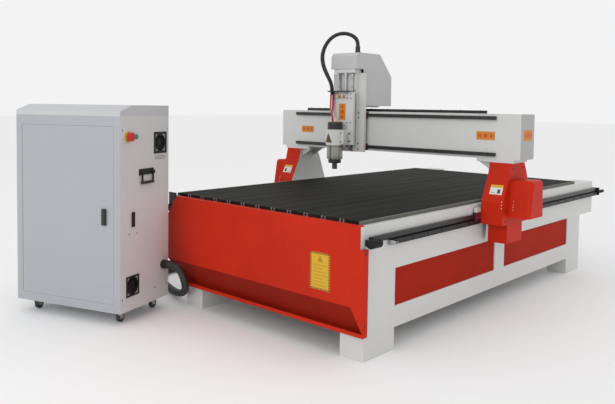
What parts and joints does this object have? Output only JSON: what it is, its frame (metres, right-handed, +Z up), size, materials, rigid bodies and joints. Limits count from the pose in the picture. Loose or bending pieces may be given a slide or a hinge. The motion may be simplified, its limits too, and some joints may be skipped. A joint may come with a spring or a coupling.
{
  "type": "cnc router",
  "caption": "Gantry CNC router with a T-slot bed on a steel frame, a belt-driven rack gantry, a screw-driven spindle slide and a separate control cabinet.",
  "frame": {"origin": "on the floor under the middle of the bed", "axes": "+Z up, +Y from the front panel towards the rear of the machine, +X to the right across the bed seen from the front"},
  "size_m": [2.44, 4.0038, 1.7848],
  "materials": {
    "white_paint": "satin",
    "red_paint": "satin",
    "cabinet_paint": "fine texture, satin",
    "hood_paint": "satin",
    "dark_metal": "satin",
    "aluminium": "brushed",
    "slot_aluminium": "dull, dirty",
    "bed_pvc": "ribbed matt",
    "ground_steel": "ground",
    "rack_steel": "oiled",
    "block_steel": "ground, coloured end seals",
    "spindle_steel": "turned, satin",
    "tool_steel": "dark turned",
    "black_rubber": "matt",
    "black_plastic": "matt",
    "red_plastic": "glossy",
    "green_plastic": "glossy",
    "caster_rubber": "matt",
    "zinc_plate": "zinc plated"
  },
  "bodies": {
    "base": {"side_beams": "white_paint", "legs": "white_paint", "cross_members": "white_paint", "front_panel": "red_paint", "side_panels": "red_paint", "t_slot_channels": "slot_aluminium", "pvc_strips": "bed_pvc", "y_rails": "ground_steel", "y_racks": "rack_steel", "rail_buffers": "black_rubber", "cabinet_body": "cabinet_paint", "cabinet_top": "cabinet_paint", "cabinet_fittings": "black_plastic", "electronics_panel": "zinc_plate", "conduit_glands": "black_plastic", "cabinet_conduit": "black_plastic"},
    "door": {"cabinet_door": "cabinet_paint"},
    "door_latch": {"door_latch": "black_plastic"},
    "side_latch": {"side_latch": "black_plastic"},
    "drop_handle": {"drop_handle": "black_plastic"},
    "estop": {"estop_button": "red_plastic"},
    "start_button": {"start_button": "green_plastic"},
    "fan_upper": {"fan_rotor_upper": "black_plastic"},
    "fan_lower": {"fan_rotor_lower": "black_plastic"},
    "gantry": {"gantry_beam": "white_paint", "x_rails": "ground_steel", "x_rack": "rack_steel", "gantry_legs": "white_paint", "gantry_covers": "red_paint", "y_blocks": "block_steel", "y_motors": "dark_metal", "y_drive_belts": "black_rubber"},
    "y_motor_pulley_left": {"y_motor_pulley_left": "aluminium"},
    "y_motor_pulley_right": {"y_motor_pulley_right": "aluminium"},
    "y_pinion_left": {"y_pinion_left": "rack_steel"},
    "y_pinion_right": {"y_pinion_right": "rack_steel"},
    "x_carriage": {"x_carriage_plate": "white_paint", "x_blocks": "block_steel", "z_rails": "ground_steel", "hood": "hood_paint", "carriage_motors": "dark_metal", "z_hose": "black_plastic", "hose_gland": "black_plastic"},
    "x_pinion": {"x_pinion": "rack_steel"},
    "z_screw": {"z_screw": "ground_steel"},
    "z_slide": {"z_plate": "white_paint", "z_blocks": "block_steel", "spindle_brackets": "white_paint", "spindle_body": "spindle_steel", "spindle_cap": "black_plastic", "spindle_leads": "black_rubber"},
    "spindle_shaft": {"spindle_shaft": "tool_steel"},
    "caster_fork_front_left": {"caster_fork_front_left": "zinc_plate"},
    "caster_wheel_front_left": {"caster_wheel_front_left": "caster_rubber"},
    "caster_fork_front_right": {"caster_fork_front_right": "zinc_plate"},
    "caster_wheel_front_right": {"caster_wheel_front_right": "caster_rubber"},
    "caster_fork_rear_left": {"caster_fork_rear_left": "zinc_plate"},
    "caster_wheel_rear_left": {"caster_wheel_rear_left": "caster_rubber"},
    "caster_fork_rear_right": {"caster_fork_rear_right": "zinc_plate"},
    "caster_wheel_rear_right": {"caster_wheel_rear_right": "caster_rubber"}
  },
  "joints": [
    {"name": "gantry_y", "type": "slide", "parent": "base", "child": "gantry", "axis": [0, 1, 0], "range_m": [-0.94, 1.55]},
    {"name": "carriage_x", "type": "slide", "parent": "gantry", "child": "x_carriage", "axis": [1, 0, 0], "range_m": [-0.385, 0.955]},
    {"name": "z_slide", "type": "slide", "parent": "x_carriage", "child": "z_slide", "axis": [0, 0, 1], "range_m": [-0.12, 0.08], "deforming": ["z_hose"]},
    {"name": "spindle_spin", "type": "hinge", "parent": "z_slide", "child": "spindle_shaft", "pos_m": [-0.285, -0.347, 0.83], "axis": [0, 0, 1], "continuous": true},
    {"name": "z_screw_turn", "type": "hinge", "parent": "x_carriage", "child": "z_screw", "pos_m": [-0.285, -0.237, 1.2], "axis": [0, 0, 1], "range_deg": [-2890, 4330]},
    {"name": "x_pinion_turn", "type": "hinge", "parent": "x_carriage", "child": "x_pinion", "pos_m": [-0.285, -0.025, 1.226], "axis": [0, 0, 1], "range_deg": [-1830, 740]},
    {"name": "y_pinion_turn_left", "type": "hinge", "parent": "gantry", "child": "y_pinion_left", "pos_m": [-0.8, -0.084, 0.529], "axis": [1, 0, 0], "range_deg": [-1800, 2965]},
    {"name": "y_motor_turn_left", "type": "hinge", "parent": "gantry", "child": "y_motor_pulley_left", "pos_m": [-0.8, -0.084, 0.715], "axis": [1, 0, 0], "range_deg": [-3595, 5925]},
    {"name": "y_pinion_turn_right", "type": "hinge", "parent": "gantry", "child": "y_pinion_right", "pos_m": [0.8, -0.084, 0.529], "axis": [1, 0, 0], "range_deg": [-1800, 2965]},
    {"name": "y_motor_turn_right", "type": "hinge", "parent": "gantry", "child": "y_motor_pulley_right", "pos_m": [0.8, -0.084, 0.715], "axis": [1, 0, 0], "range_deg": [-3595, 5925]},
    {"name": "cabinet_door_hinge", "type": "hinge", "parent": "base", "child": "door", "pos_m": [-1.18282, -2.13331, 0.622], "axis": [0, 0, -1], "range_deg": [0, 100]},
    {"name": "door_latch_turn", "type": "hinge", "parent": "door", "child": "door_latch", "pos_m": [-0.61426, -1.93847, 0.614], "axis": [0.3328, -0.943, 0], "range_deg": [0, 90]},
    {"name": "side_latch_turn", "type": "hinge", "parent": "base", "child": "side_latch", "pos_m": [-0.54425, -1.80029, 0.594], "axis": [0.943, 0.3328, 0], "range_deg": [0, 90]},
    {"name": "drop_handle_swing", "type": "hinge", "parent": "base", "child": "drop_handle", "pos_m": [-0.57864, -1.67881, 0.852], "axis": [0.3328, -0.943, 0], "range_deg": [0, 90]},
    {"name": "estop_push", "type": "slide", "parent": "base", "child": "estop", "axis": [-0.943, -0.3328, 0], "range_m": [0, 0.006]},
    {"name": "start_push", "type": "slide", "parent": "base", "child": "start_button", "axis": [-0.943, -0.3328, 0], "range_m": [0, 0.004], "stiffness_N_per_m": 800},
    {"name": "fan_upper_spin", "type": "hinge", "parent": "base", "child": "fan_upper", "pos_m": [-0.65064, -1.55894, 1.019], "axis": [0.943, 0.3328, 0], "continuous": true},
    {"name": "fan_lower_spin", "type": "hinge", "parent": "base", "child": "fan_lower", "pos_m": [-0.56328, -1.80648, 0.2135], "axis": [0.943, 0.3328, 0], "continuous": true},
    {"name": "caster_swivel_front_left", "type": "hinge", "parent": "base", "child": "caster_fork_front_left", "pos_m": [-1.18144, -2.05911, 0.066], "axis": [0, 0, 1], "continuous": true},
    {"name": "caster_roll_front_left", "type": "hinge", "parent": "caster_fork_front_left", "child": "caster_wheel_front_left", "pos_m": [-1.18743, -2.04214, 0.028], "axis": [0.943, 0.3328, 0], "continuous": true},
    {"name": "caster_swivel_front_right", "type": "hinge", "parent": "base", "child": "caster_fork_front_right", "pos_m": [-0.6081, -1.85676, 0.066], "axis": [0, 0, 1], "continuous": true},
    {"name": "caster_roll_front_right", "type": "hinge", "parent": "caster_fork_front_right", "child": "caster_wheel_front_right", "pos_m": [-0.61409, -1.83979, 0.028], "axis": [0.943, 0.3328, 0], "continuous": true},
    {"name": "caster_swivel_rear_left", "type": "hinge", "parent": "base", "child": "caster_fork_rear_left", "pos_m": [-1.28328, -1.77056, 0.066], "axis": [0, 0, 1], "continuous": true},
    {"name": "caster_roll_rear_left", "type": "hinge", "parent": "caster_fork_rear_left", "child": "caster_wheel_rear_left", "pos_m": [-1.28927, -1.75359, 0.028], "axis": [0.943, 0.3328, 0], "continuous": true},
    {"name": "caster_swivel_rear_right", "type": "hinge", "parent": "base", "child": "caster_fork_rear_right", "pos_m": [-0.70994, -1.5682, 0.066], "axis": [0, 0, 1], "continuous": true},
    {"name": "caster_roll_rear_right", "type": "hinge", "parent": "caster_fork_rear_right", "child": "caster_wheel_rear_right", "pos_m": [-0.71593, -1.55123, 0.028], "axis": [0.943, 0.3328, 0], "continuous": true}
  ],
  "couplings": [
    {"joint": "z_screw_turn", "follows": "z_slide", "rad_per_m": -628.32},
    {"joint": "x_pinion_turn", "follows": "carriage_x", "rad_per_m": -33.333},
    {"joint": "y_pinion_turn_left", "follows": "gantry_y", "rad_per_m": 33.333},
    {"joint": "y_motor_turn_left", "follows": "gantry_y", "rad_per_m": 66.667},
    {"joint": "y_pinion_turn_right", "follows": "gantry_y", "rad_per_m": 33.333},
    {"joint": "y_motor_turn_right", "follows": "gantry_y", "rad_per_m": 66.667}
  ]
}
